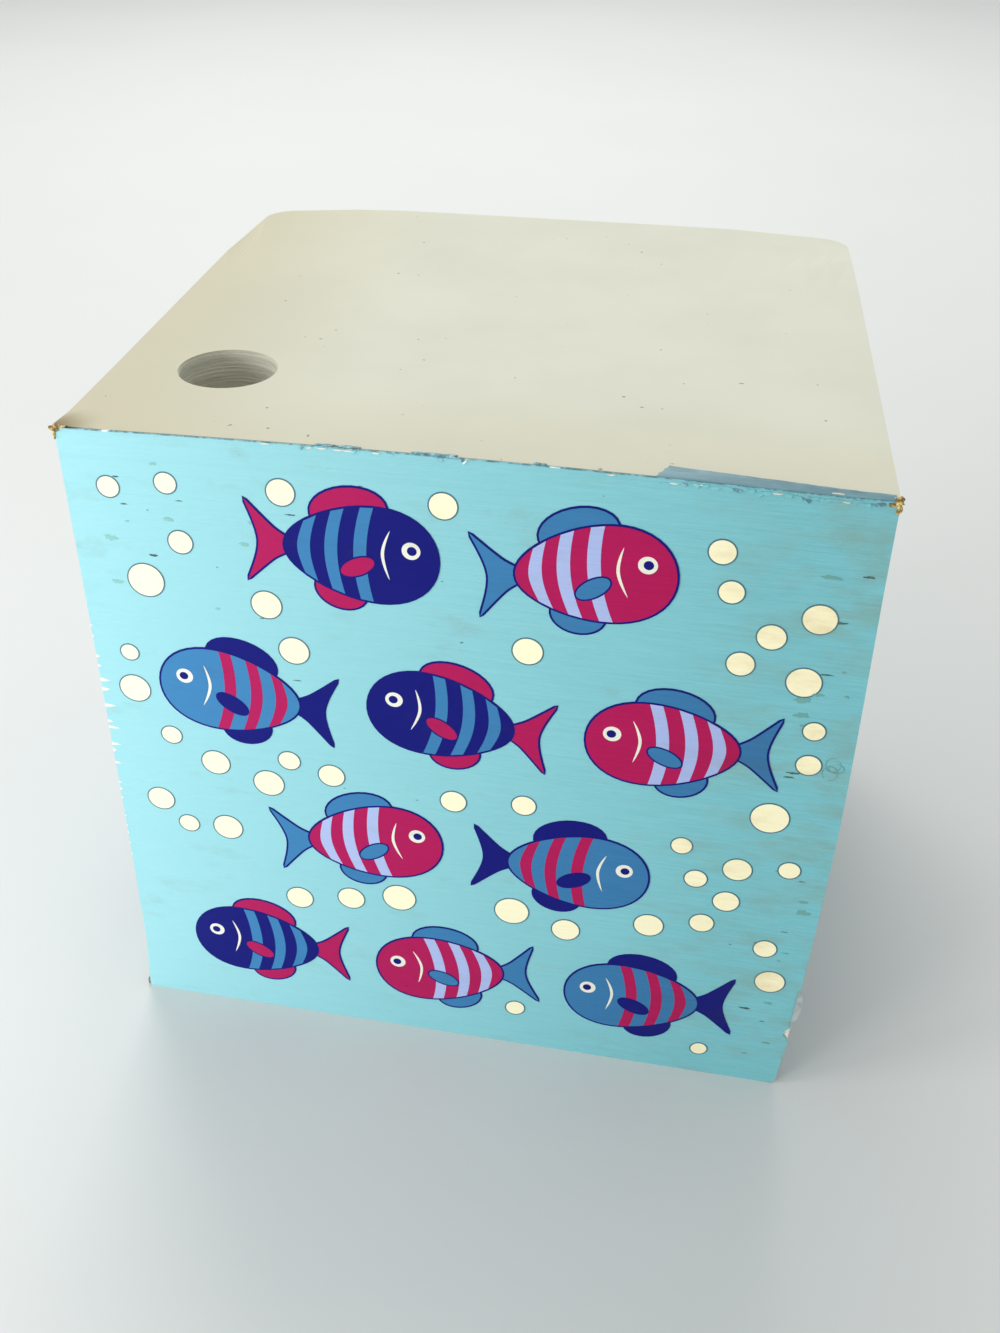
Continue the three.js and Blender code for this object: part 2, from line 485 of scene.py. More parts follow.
# ---- Glue film on the front ---------------------------------------------------------------------
# A skin of flexible padding glue, under half a millimetre thick, painted over the front edges of the sheets and
# printed light blue. The sheet edges show through it as fine level ridges, and its left border is frayed.

film_set_back = 0.145
nick_random = np.random.default_rng(13)
nick_levels = np.linspace(26.0, 64.0, 20) + nick_random.uniform(-0.7, 0.7, 20)
most_worn_level = 50.0
film_nicks = [
    (level, 0.2 + 1.8 * nick_random.uniform(0.2, 1.0) * math.exp(-(((level - most_worn_level) / 9.0) ** 2)),
     nick_random.uniform(0.25, 0.6))
    for level in nick_levels.tolist()
]
worn_bottom_corner = 1.0
film_random = np.random.default_rng(7)


def ink_finish(name, colour, deep, painted_light_tone, wear_colour=(0.22, 0.31, 0.25)):
    """Screen ink over sheet edges: level streaks of a deeper tone, a satin shine broken up by fine level ridges,
    painted light that makes the colour lighter towards the left, where the light falls, grime that gathers at the
    right where the cube is held, and a few dark scuffs.
    All the inks share their grime and scuffs, so these run on from one ink to the next."""
    material, nodes, links, shader = new_material(name, 0.38, 0.13)
    streaks = object_noise(nodes, links, (0.035, 0.035, 1.0), 3300.0, 3.0, 0.75)
    grime = object_noise(nodes, links, (1.0, 1.0, 2.2), 95.0, 5.0, 0.68, (0.7, 0.0, 0.2))
    scuffs = object_noise(nodes, links, (1.0, 1.0, 1.6), 560.0, 2.0, 0.55, (0.1, 0.5, 0.3))
    toned = patterned(nodes, links, streaks, 0.32, 0.68, deep, colour)
    place = nodes.new("ShaderNodeTexCoord")
    split = nodes.new("ShaderNodeSeparateXYZ")
    links.new(place.outputs["Object"], split.inputs["Vector"])
    handled = band_of(nodes, links, split.outputs["X"], 0.020, 0.045)
    # Painted light: the colour is painted lighter towards the left, where the light falls on the cube.
    painted_light_share = band_of(nodes, links, split.outputs["X"], 0.035, -0.050, False)
    toned = mixed(nodes, links, painted_light_share, toned, painted_light_tone)
    everywhere = times(nodes, links, band_of(nodes, links, grime, 0.54, 0.80), 0.30)
    at_right = times(nodes, links, times(nodes, links, band_of(nodes, links, grime, 0.42, 0.66), handled), 0.42)
    dirtied = mixed(nodes, links, everywhere, toned, wear_colour)
    dirtied = mixed(nodes, links, at_right, dirtied, wear_colour)
    marks = times(nodes, links, band_of(nodes, links, scuffs, 0.74, 0.79), 0.8)
    scuffed = mixed(nodes, links, marks, dirtied, tuple(0.3 * c for c in wear_colour))
    links.new(scuffed, shader.inputs["Base Color"])
    bumped(nodes, links, shader, streaks, 0.00003, 0.55)
    return material


# The third colour is the painted light: the lighter tone the film is painted towards the left, where the light falls.
film_material = ink_finish("light_blue_ink", ink_ground, ink_ground_deep, (0.36, 0.70, 0.76))


def wave(x, z, reach, seed):
    """A smooth random ripple in a plane: the mean of eight cosines of random direction, length and phase."""
    random = np.random.default_rng(seed)
    ripple = 0.0
    for _ in range(8):
        along = random.uniform(0, 2 * math.pi)
        length = reach * random.uniform(0.6, 1.8)
        ripple = ripple + np.cos(
            2 * math.pi * (x * math.cos(along) + z * math.sin(along)) / length + random.uniform(0, 2 * math.pi)
        )
    return ripple / 8


def closed_slab(front, back):
    """Points and quads of a closed slab between two grids of points of the same size: the front grid, the back grid
    turned the other way, and a wall round their borders."""
    rows, columns = front.shape[:2]
    number = np.arange(rows * columns).reshape(rows, columns)
    sheet = np.stack([number[:-1, :-1], number[:-1, 1:], number[1:, 1:], number[1:, :-1]], axis=-1).reshape(-1, 4)
    border = np.concatenate([number[0, :-1], number[:-1, -1], number[-1, :0:-1], number[:0:-1, 0]])
    after = np.roll(border, -1)
    offset = rows * columns
    wall = np.stack([border, border + offset, after + offset, after], axis=-1)
    points = np.concatenate([front.reshape(-1, 3), back.reshape(-1, 3)])
    return points, np.concatenate([sheet, sheet[:, ::-1] + offset, wall])


def film_length(name, low, high, node, body, torn_top=False):
    """One length of the film, as a closed slab. Its front is a grid of level rows, two to a sheet: ridged by the
    sheets, gently rippled, drawn in at the left where it is frayed, and rounded at the bottom right corner."""
    rows = 2 * int(round((high - low) / sheet_thickness)) + 1
    level = np.linspace(low + opening_gap, high - opening_gap, rows)
    from_left = np.array([0, 0.15, 0.35, 0.6, 1.0, 1.6, 2.6, 4.0, 6.0, 9.0, 13.0])
    across = np.concatenate([left_x + from_left, np.linspace(left_x + 18, right_x - 3, 22), [44.0, 44.6, right_x]])
    x, z = np.meshgrid(across, level)
    depth = 0.07 * film_random.random(rows)
    for nick_z, nick_depth, nick_height in film_nicks:
        within = np.clip(1.25 - np.abs(level - nick_z) / (0.5 * nick_height), 0, 1)
        depth = np.maximum(depth, 0.16 * nick_depth * within)
    fade = np.clip(1.0 - (x - left_x) / 1.5, 0, 1)
    corner = np.clip(worn_bottom_corner - level, 0, None)
    rounding = worn_bottom_corner - np.sqrt(worn_bottom_corner**2 - corner**2)
    notch = 0.85 * np.clip(1.2 - np.abs(level - 10.3) / 1.3, 0, 1)
    from_right = right_x - x
    pull = rounding[:, None] * np.exp(-from_right) + notch[:, None] * np.clip(1.0 - from_right / 1.4, 0, 1)
    ridge = np.where(np.arange(rows) % 2 == 0, 0.010, 0.0) + 0.014 * film_random.random(rows)
    ripple = 0.012 * (1 + wave(x, 3 * z, 16.0, 5))
    film_y = front_y + film_set_back + ridge[:, None] + ripple
    front = np.stack([x + depth[:, None] * fade - pull, film_y, z], axis=-1)
    if torn_top:
        edge = 0.10 * wave(x, z * 0, 2.3, 11) + 0.06 * wave(x, z * 0, 0.8, 12)
        front[..., 2] += edge * eased((z - high + 0.6) / 0.6)
    back = front.copy()
    back[..., 1] = paper_front_y - 0.01
    points, faces = closed_slab(front, back)
    piece = mesh_piece(name, settled(points), faces.tolist(), [film_material])
    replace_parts(piece, node)
    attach(piece, body)
    return piece


film_length("film_lower", 0.0, lower_opening, "glue_film_lower", "lower_block")
film_length("film_middle", lower_opening, upper_opening, "glue_film_middle", "middle_block")
film_length("film_upper", upper_opening, stack_top, "glue_film_upper", "upper_block", torn_top=True)

# ---- Printed picture: how the inks are laid -----------------------------------------------------
# Flat areas of ink, screen printed one colour after another on the film and on the other three sides of the
# stack. Each area is a closed line drawn on a side, made into a layer of ink a few hundredths of a millimetre thick.

ink_step = 0.008
ink_depth = {"front": 0.19, "right": 0.16, "back": 0.16, "left": 0.16}
ink_raise = {"front": -0.140, "right": 0.068, "back": 0.068, "left": 0.068}
side_frames = {
    "front": (np.array([0.0, front_y]), np.array([1.0, 0.0]), np.array([0.0, -1.0])),
    "right": (np.array([right_x, 0.0]), np.array([0.0, 1.0]), np.array([1.0, 0.0])),
    "back": (np.array([0.0, back_y]), np.array([-1.0, 0.0]), np.array([0.0, 1.0])),
    "left": (np.array([left_x, 0.0]), np.array([0.0, -1.0]), np.array([-1.0, 0.0])),
}
blocks = {
    "lower": ("lower_block", 0.0, lower_opening - opening_gap),
    "middle": ("middle_block", lower_opening + opening_gap, upper_opening - opening_gap),
    "upper": ("upper_block", upper_opening + opening_gap, stack_top),
}
# The third colour of each ink is its painted light: the lighter tone it is painted towards the left, where the light
# falls.
inks = {
    "cream": ink_finish(
        "cream_ink", (0.96, 0.90, 0.62), (0.92, 0.85, 0.56), (0.97, 0.93, 0.70), (0.66, 0.50, 0.24)
    ),
    "outline": ink_finish("grey_blue_ink", (0.050, 0.150, 0.205), (0.042, 0.13, 0.18), (0.10, 0.20, 0.25)),
    "navy": ink_finish(
        "navy_ink", (0.004, 0.005, 0.165), (0.003, 0.004, 0.14), (0.004, 0.006, 0.18), (0.02, 0.02, 0.09)
    ),
    "magenta": ink_finish(
        "magenta_ink", (0.42, 0.006, 0.085), (0.37, 0.005, 0.072), (0.44, 0.010, 0.11), (0.22, 0.012, 0.05)
    ),
    "blue": ink_finish(
        "mid_blue_ink", (0.040, 0.175, 0.37), (0.033, 0.155, 0.33), (0.052, 0.235, 0.50), (0.05, 0.12, 0.20)
    ),
    "lilac": ink_finish("lilac_ink", (0.38, 0.45, 0.74), (0.33, 0.40, 0.68), (0.46, 0.56, 0.86)),
    "white": ink_finish("pale_ink", (0.80, 0.79, 0.68), (0.74, 0.73, 0.62), (0.84, 0.84, 0.76)),
    "stain": ink_finish("brown_green_stain", (0.16, 0.38, 0.36), (0.13, 0.34, 0.32), (0.28, 0.57, 0.56)),
    "mark": ink_finish("dark_scuff", (0.06, 0.11, 0.10), (0.045, 0.09, 0.09), (0.08, 0.14, 0.13)),
}
printed_areas = {colour: [] for colour in inks}


def pen_line(points, closed=True, steps_each=8):
    """A smooth line through points (Catmull-Rom). A point given twice in a row is a sharp corner."""
    points = np.array(points, float)
    if closed:
        before, after, beyond = np.roll(points, 1, 0), np.roll(points, -1, 0), np.roll(points, -2, 0)
        start = points
    else:
        padded = np.concatenate([points[:1], points, points[-1:]])
        before, start, after, beyond = padded[:-3], padded[1:-2], padded[2:-1], padded[3:]
    t = np.linspace(0, 1, steps_each, endpoint=False)[None, :, None]
    before, start, after, beyond = (p[:, None, :] for p in (before, start, after, beyond))
    line = 0.5 * (
        2 * start + (after - before) * t + (2 * before - 5 * start + 4 * after - beyond) * t**2
        + (3 * start - before - 3 * after + beyond) * t**3
    )
    moving = np.abs(after - start).sum(axis=(1, 2)) > 1e-9
    line = line[moving].reshape(-1, points.shape[1])
    return line if closed else np.concatenate([line, points[-1:]])


def grown(line, width):
    """A closed line moved outwards by a width along its own normals; a negative width moves it inwards."""
    ahead = np.roll(line, -1, 0) - line
    ahead /= np.maximum(np.linalg.norm(ahead, axis=1, keepdims=True), 1e-9)
    tangent = ahead + np.roll(ahead, 1, 0)
    tangent /= np.maximum(np.linalg.norm(tangent, axis=1, keepdims=True), 0.5)
    turning = np.sign((line[:, 0] * np.roll(line[:, 1], -1) - np.roll(line[:, 0], -1) * line[:, 1]).sum())
    return line + turning * width * np.stack([tangent[:, 1], -tangent[:, 0]], axis=-1)


def ellipse(centre, wide, high, lean=0.0, count=28):
    """A closed ellipse of a width and height, leaning clockwise by an angle in degrees."""
    a = np.linspace(0, 2 * math.pi, count, endpoint=False)
    x, z = 0.5 * wide * np.cos(a), 0.5 * high * np.sin(a)
    c, s = math.cos(math.radians(lean)), math.sin(math.radians(lean))
    return np.stack([centre[0] + c * x + s * z, centre[1] - s * x + c * z], axis=-1)


def crescent(points, thickness):
    """A stroke through points that swells to a thickness at its middle and comes to nothing at its ends."""
    line = pen_line(points, closed=False)
    tangent = np.gradient(line, axis=0)
    tangent /= np.linalg.norm(tangent, axis=1, keepdims=True)
    swell = thickness * np.sin(np.linspace(0.02, 0.98, len(line)) * math.pi)[:, None]
    return np.concatenate([line, (line + swell * np.stack([tangent[:, 1], -tangent[:, 0]], axis=-1))[::-1]])


def lay_ink(side, colour, layer, line):
    """Keeps a closed line to be printed on a side in a colour. Higher layers lie over lower ones."""
    area = (line[:, 0] * np.roll(line[:, 1], -1) - np.roll(line[:, 0], -1) * line[:, 1]).sum()
    printed_areas[colour].append((side, layer, line if area > 0 else line[::-1]))


def placed(line, place, flip=1.0, size=1.0, turn=0.0):
    """A line drawn round its own centre, sized, flipped left to right with flip -1, turned anticlockwise by an
    angle in degrees, and moved to its place on the side."""
    c, s = math.cos(math.radians(turn)), math.sin(math.radians(turn))
    x, z = flip * size * line[:, 0], size * line[:, 1]
    return np.stack([place[0] + c * x - s * z, place[1] + s * x + c * z], axis=-1)


def bubble(side, x, z, wide):
    """An air bubble: a cream disc with a thin grey-blue edge."""
    lay_ink(side, "outline", 0, ellipse((x, z), wide + 0.34, wide + 0.34))
    lay_ink(side, "cream" if wide > 1.4 else "white", 1, ellipse((x, z), wide, wide))


# ---- Printed picture: the fish ------------------------------------------------------------------
# A plain striped fish: an egg-shaped body, a forked tail, round fins behind the body and upright bands across it.
# It is drawn once, by formula, and printed in staggered rows on all four sides, in three colourings.

fish_length = 19.0
fish_height = 12.5
fish_fullness = 0.22
fish_middle = 2.4
fish_size = 0.92
fish_outline = 0.28
band_places = (-0.8, 2.8, 6.2)
band_width = 1.6
fish_turn = np.linspace(0, 2 * math.pi, 48, endpoint=False)
fish_body = np.stack(
    [0.5 * fish_length * np.cos(fish_turn),
     0.5 * fish_height * np.sin(fish_turn) * (1 - fish_fullness * np.cos(fish_turn))], axis=-1
)
fish_tail = pen_line(
    [(8.2, 0.0), (11.0, 2.2), (14.4, 5.6), (14.4, 5.6), (12.8, 0.0), (14.4, -5.6), (14.4, -5.6), (11.0, -2.2)]
)
fish_fins = [ellipse((1.5, 5.6), 9.5, 6.0, 12), ellipse((2.5, -5.4), 6.5, 5.0, -14)]
fish_colourings = [("navy", "magenta", "blue"), ("magenta", "blue", "lilac"), ("blue", "navy", "magenta")]


def fish_edge(x):
    """Half the body's height at a distance along it: half an ellipse, fuller towards the head."""
    along = np.clip(2 * x / fish_length, -1, 1)
    return 0.5 * fish_height * np.sqrt(1 - along**2) * (1 - fish_fullness * along)


def fish_band(place):
    """An upright band across the body. It bows towards the tail and ends at the body's edge."""
    up = np.linspace(-1, 1, 15)
    edges = [place + 0.9 * (1 - up**2) + 0.5 * band_width * side for side in (-1, 1)]
    front, back = (np.stack([x, up * fish_edge(x)], axis=-1) for x in edges)
    return np.concatenate([front, back[::-1]])


def striped_fish(side, place, flip, turn, body, fins, bands, layer=4):
    """Prints one fish: tail and fins first, then the body over them, its bands, side fin, gill line and eye."""
    put = lambda line: placed(line - np.array([fish_middle, 0.0]), place, flip, fish_size, turn)
    for shape in (fish_tail, *fish_fins):
        lay_ink(side, "navy", layer, put(grown(shape, fish_outline)))
        lay_ink(side, fins, layer + 1, put(shape))
    lay_ink(side, "navy", layer + 2, put(grown(fish_body, fish_outline)))
    lay_ink(side, body, layer + 3, put(fish_body))
    for band in band_places:
        lay_ink(side, bands, layer + 4, put(fish_band(band)))
    side_fin = ellipse((0.4, -1.8), 4.6, 2.2, 28)
    lay_ink(side, "navy", layer + 5, put(grown(side_fin, 0.8 * fish_outline)))
    lay_ink(side, fins, layer + 6, put(side_fin))
    lay_ink(side, "white", layer + 5, put(crescent([(-3.6, 3.6), (-2.9, 0.4), (-3.6, -3.0)], -0.4)))
    lay_ink(side, "white", layer + 5, put(ellipse((-6.2, 1.3), 2.3, 2.3)))
    lay_ink(side, "navy", layer + 6, put(ellipse((-6.3, 1.3), 1.2, 1.2)))


fish_rows = 4
lowest_row = 13.0
row_gap = 21.5
fish_pitch = 26.0
for side_number, side in enumerate(side_frames):
    for row in range(fish_rows):
        in_row = 3 if row % 2 == 0 else 2
        for column in range(in_row):
            place = (fish_pitch * (column - 0.5 * (in_row - 1)), lowest_row + row_gap * row)
            tilt = 8.0 * math.sin(2.0 * row + 1.3 * column + side_number)
            colouring = fish_colourings[(row + column + side_number) % len(fish_colourings)]
            striped_fish(side, place, 1 if row % 2 == 0 else -1, tilt, *colouring)

# ---- Printed picture: the bubbles ---------------------------------------------------------------
# Air bubbles fill the water between the fish. They are dealt out at random, the largest first, and none touches
# a fish, another bubble or an edge.

bubbles_a_side = 46
bubble_random = np.random.default_rng(17)
for side in side_frames:
    drawn = np.concatenate([line for colour in inks for where, _, line in printed_areas[colour] if where == side])
    reach = 41.0 if side == "front" else 35.5
    dealt = []
    for wide in np.sort(bubble_random.uniform(1.0, 4.6, 900))[::-1]:
        x, z = bubble_random.uniform(-reach, reach), bubble_random.uniform(4.5, 85.5)
        gap = 0.5 * wide + 1.0
        clear_of_fish = np.hypot(drawn[:, 0] - x, drawn[:, 1] - z).min() > gap
        clear_of_bubbles = all(math.hypot(a - x, b - z) > gap + 0.5 * c for a, b, c in dealt)
        if clear_of_fish and clear_of_bubbles and len(dealt) < bubbles_a_side:
            dealt.append((x, z, wide * bubble_random.uniform(0.55, 1.0)))
    for x, z, wide in dealt:
        bubble(side, x, z, wide)

# ---- Stains and scuffs --------------------------------------------------------------------------
# Small brown-green stains and dark scuffs on the film, longer than they are high because they follow the sheet
# edges. Most lie along the right border, where the cube is held, and a few at the upper left.

wear_random = np.random.default_rng(41)


def smudge(colour, layer, x, z, wide, tall):
    """A small mark with a wavy outline."""
    a = np.linspace(0, 2 * math.pi, 26, endpoint=False)
    waves = [wear_random.uniform(0.06, 0.20) * np.cos(k * a + wear_random.uniform(0, 6)) for k in (2, 3, 5, 7)]
    reach = 1.0 + sum(waves)
    line = np.stack([x + 0.5 * wide * reach * np.cos(a), z + 0.5 * tall * reach * np.sin(a)], axis=-1)
    lay_ink("front", colour, layer, line)


for number, (nick_z, nick_depth, nick_height) in enumerate(film_nicks):
    low_z, high_z, tip = nick_z - 0.5 * nick_height, nick_z + 0.5 * nick_height, left_x + nick_depth
    split = nick_z + 0.15 * nick_height * math.sin(5.0 * number)
    torn = [
        (left_x + 0.03, low_z), (left_x + 0.5 * nick_depth, low_z + 0.1 * nick_height), (tip, split),
        (left_x + 0.45 * nick_depth, high_z - 0.1 * nick_height), (left_x + 0.03, high_z),
    ]
    lay_ink("front", "white", 0.8, np.array(torn))
for colour, layer, along_border, upper_left, widest, flatness in (
    ("stain", 0.3, 18, 8, 1.8, 0.45), ("mark", 0.6, 11, 8, 1.5, 0.20),
):
    for number in range(along_border + upper_left):
        if number < along_border:
            x, z = wear_random.uniform(37.5, 43.4), wear_random.uniform(5.0, 84.0)
        else:
            x, z = wear_random.uniform(-42.0, -10.0), wear_random.uniform(58.0, 87.0)
        wide = wear_random.uniform(0.4, widest)
        smudge(colour, layer, x, z, wide, wide * flatness * wear_random.uniform(0.5, 1.2))
for _ in range(3):
    x, z = wear_random.uniform(42.4, 43.6), wear_random.uniform(40.0, 76.0)
    wide, tall = 1.6, wear_random.uniform(0.8, 3.0)
    turn = np.radians(np.linspace(0, 320, 9) + wear_random.uniform(0, 360))
    ring = np.stack([x + 0.5 * wide * np.cos(turn), z + 0.5 * tall * np.sin(turn)], axis=-1)
    lay_ink("front", "stain", 0.5, crescent(ring, 0.12))

# ---- Printed picture: making the ink ------------------------------------------------------------
# Every area becomes a thin closed layer: its own outline on the outside, and the same outline a little way inside
# the stack. Layers are cut at the two openings, so each block keeps its own part of a fish, and sag with it.


def ink_layers(colour, low, high):
    """The areas of one colour as closed layers between two heights. The outlines are cut level by level, which
    lets the layers follow the slump, and the cuts at the two heights are closed again."""
    ink = bmesh.new()
    for number, (side, layer, line) in enumerate(printed_areas[colour]):
        if line[:, 1].max() <= low or line[:, 1].min() >= high:
            continue
        origin, along, outward = side_frames[side]
        raised = ink_raise[side] + ink_step * layer + 0.0004 * (number % 16)
        flat = origin + line[:, :1] * along
        rings = []
        for depth in (raised, -ink_depth[side]):
            place = np.concatenate([flat + depth * outward, line[:, 1:]], axis=1)
            rings.append([ink.verts.new(point) for point in place.tolist()])
        outer, inner = rings
        ink.faces.new(outer)
        ink.faces.new(inner[::-1])
        for start in range(len(outer)):
            end = (start + 1) % len(outer)
            ink.faces.new((outer[end], outer[start], inner[start], inner[end]))
    for level in np.arange(low + 3.0, high, 3.0):
        bmesh.ops.bisect_plane(
            ink, geom=ink.verts[:] + ink.edges[:] + ink.faces[:], dist=1e-5, plane_co=(0, 0, level),
            plane_no=(0, 0, 1),
        )
    for level, outside in ((low, -1), (high, 1)):
        bmesh.ops.bisect_plane(
            ink, geom=ink.verts[:] + ink.edges[:] + ink.faces[:], dist=1e-5, plane_co=(0, 0, level),
            plane_no=(0, 0, outside), clear_outer=True,
        )
        bmesh.ops.holes_fill(ink, edges=[edge for edge in ink.edges if edge.is_boundary], sides=0)
    return ink


for colour, finish in inks.items():
    for block, (body, low, high) in blocks.items():
        ink = ink_layers(colour, low, high)
        mesh = bpy.data.meshes.new(f"ink_{colour}_{block}")
        ink.to_mesh(mesh)
        ink.free()
        points = np.empty(3 * len(mesh.vertices))
        mesh.vertices.foreach_get("co", points)
        mesh.vertices.foreach_set("co", (settled(points.reshape(-1, 3)) * MM).ravel())
        mesh.materials.append(finish)
        mesh.update()
        piece = bpy.data.objects.new(f"ink_{colour}_{block}", mesh)
        scene.collection.objects.link(piece)
        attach(piece, body)

# ---- Torn rim -----------------------------------------------------------------------------------
# Where earlier sheets were pulled off, the film tore along the front top edge. It left a thin uneven lip, small
# flakes standing off the film, and a few crumpled shreds lying on the paper.

# Painted light: the lip is coloured dark grey-blue as painted shade, with pale flecks as painted highlights; flakes
# and shreds with this finish carry the same painted shade.
rim_material, nodes, links, shader = new_material("torn_film_painted_light", 0.35, 0.5)
shred = object_noise(nodes, links, (1.0, 1.0, 1.0), 1500.0, 3.0, 0.6)
painted_highlight_noise = object_noise(nodes, links, (1.0, 1.0, 1.0), 420.0, 2.0, 0.5, (0.3, 0.0, 0.0))
torn = patterned(nodes, links, shred, 0.40, 0.64, (0.085, 0.215, 0.260), (0.26, 0.52, 0.58))
torn = patterned(nodes, links, painted_highlight_noise, 0.60, 0.66, torn, (0.80, 0.88, 0.86))
links.new(torn, shader.inputs["Base Color"])
bumped(nodes, links, shader, shred, 0.00005)

rim_random = np.random.default_rng(23)
rim_x = np.linspace(left_x + 0.05, right_x - 0.05, 620)
flat = np.zeros_like(rim_x)
uneven = 0.35 + wave(rim_x, flat, 2.0, 41) + 0.9 * wave(rim_x, flat, 6.0, 42)
uneven = np.clip(uneven + 0.06 * rim_random.standard_normal(rim_x.size), 0.0, 1.6)
down = 0.04 + 0.055 * np.clip(0.5 + wave(rim_x, flat, 2.2, 43), 0, 1)
over = 0.03 + 0.20 * uneven
lift = 0.01 + 0.05 * uneven * np.clip(0.4 + wave(rim_x, flat, 1.1, 44), 0, 1)
profile = [
    (front_y + film_set_back - 0.02 + flat, cube_height - down),
    (front_y + 0.04 - 0.03 * np.minimum(uneven, 1), cube_height - 0.45 * down),
    (front_y + 0.05 - 0.03 * np.minimum(uneven, 1), cube_height + 0.02 + flat),
    (front_y + 0.03 + 0.4 * over, cube_height + 0.05 + lift),
    (front_y + 0.05 + over, cube_height + 0.03 + 0.6 * lift),
]
front = np.stack([np.stack([rim_x, y, z], axis=-1) for y, z in profile])
back = front + np.array([0.0, 0.05, -0.05])
rim_points, rim_faces = closed_slab(front, back)
rim_parts = [(rim_points, rim_faces, 0)]
flakes = []


def flake(x, z, wide, tall, off, lean, seed):
    """A flake of film still held along its top: a small curved tongue that stands off the front by up to an
    offset at its free lower edge, with an uneven outline."""
    random = np.random.default_rng(seed)
    across, fall = np.meshgrid(np.linspace(-1, 1, 9), np.linspace(1, 0, 6))
    narrowing = 1.0 - 0.55 * fall**1.5 * random.uniform(0.4, 1.0)
    px = x + 0.5 * wide * across * narrowing + lean * fall * tall
    pz = z - tall * fall * (1.0 - 0.30 * across**2) + 0.10 * tall * np.sin(3.0 * across + seed)
    bulge = off * np.sin(1.9 * fall) * (0.75 + 0.25 * across * random.choice([-1, 1]))
    front = np.stack([px, front_y + film_set_back - 0.03 - bulge, pz], axis=-1)
    # Very short flakes take the pale ink as a painted highlight; the others take the torn film's painted shade or the
    # film's own colour.
    finish = 2 if tall < 0.2 else random.choice([0, 1, 1])
    return (*closed_slab(front, front + np.array([0.0, 0.035, 0.012])), finish)


def shred_on_top(x, length, wide, height, turn, seed):
    """A crumpled shred lying on the paper behind the lip: a narrow wrinkled strip along the edge."""
    random = np.random.default_rng(seed)
    along, across = np.meshgrid(np.linspace(-1, 1, 17), np.linspace(-1, 1, 5))
    waist = (1.0 - 0.8 * along**4) * (0.75 + 0.25 * np.sin(5 * along + seed))
    px = x + 0.5 * length * along
    py = front_y + 0.45 + 0.5 * wide * across * waist + turn * 0.5 * length * along
    folds = np.abs(np.sin(7.0 * along + 2.0 * across + random.uniform(0, 6)))
    crumple = height * (0.35 + 0.65 * folds) * (1 - 0.5 * across**2)
    front = np.stack([px, py, cube_height + 0.04 + crumple], axis=-1)
    return (*closed_slab(front, front - np.array([0.0, 0.0, 0.03])), 0)


for number in range(26):
    x = 21.5 + 22.5 * (number + 0.6 * rim_random.random()) / 26
    tall = rim_random.choice([0.13, 0.30, 0.40, 0.50])
    flakes.append(
        flake(x, stack_top - rim_random.uniform(0.15, 0.50), rim_random.uniform(0.6, 1.3), tall,
              rim_random.uniform(0.05, 0.12), rim_random.uniform(-0.8, 0.8), number + 1)
    )
for number in range(12):
    x = rim_random.uniform(-22.0, 18.0)
    flakes.append(
        flake(x, stack_top - rim_random.uniform(0.02, 0.12), rim_random.uniform(0.5, 1.4),
              rim_random.choice([0.14, 0.25, 0.40]), rim_random.uniform(0.05, 0.12),
              rim_random.uniform(-0.6, 0.6), 60 + number)
    )
for number in range(7):
    length = rim_random.uniform(1.2, 3.2)
    wide = 0.25 + 0.15 * length
    x = rim_random.uniform(-17.0, 10.0)
    rim_parts.append(shred_on_top(x, length, wide, 0.12, rim_random.uniform(-0.08, 0.08), 400 + number))


def joined(name, parts, body):
    """Several slabs joined into one piece, each with its own finish: torn film in painted shade and highlights, film,
    or pale ink as a painted highlight.
    """
    starts = np.cumsum([0] + [len(points) for points, _, _ in parts[:-1]])
    faces = np.concatenate([own + start for (_, own, _), start in zip(parts, starts)])
    finish = np.concatenate([np.full(len(own), number) for _, own, number in parts])
    points = settled(np.concatenate([points for points, _, _ in parts]))
    piece = mesh_piece(name, points, faces.tolist(), [rim_material, film_material, inks["white"]], finish)
    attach(piece, body)
    return piece


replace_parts(joined("torn_rim", rim_parts, "top_leaf"), "glue_edge_top")
joined("film_flakes", flakes, "upper_block")

# ---- Folded flap --------------------------------------------------------------------------------
# A strip of the film that stayed on when a sheet was pulled off, folded back flat on the paper at the right. It is
# widest at its torn left end and narrows to the corner, and its free edge lies a hair off the paper.

flap_low, flap_high = (np.array(corner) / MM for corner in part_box("folded_film_flap"))
flap_material, nodes, links, shader = new_material("folded_film", 0.38, 0.5)
cloud = object_noise(nodes, links, (0.25, 1.0, 1.0), 900.0, 3.0, 0.6)
streak = object_noise(nodes, links, (0.03, 1.0, 1.0), 3000.0, 2.0, 0.6)
flap_colour = patterned(nodes, links, cloud, 0.35, 0.7, (0.060, 0.180, 0.225), (0.095, 0.245, 0.295))
flap_colour = patterned(nodes, links, streak, 0.55, 0.75, flap_colour, (0.20, 0.36, 0.40), 0.35)
links.new(flap_colour, shader.inputs["Base Color"])
bumped(nodes, links, shader, streak, 0.00002)

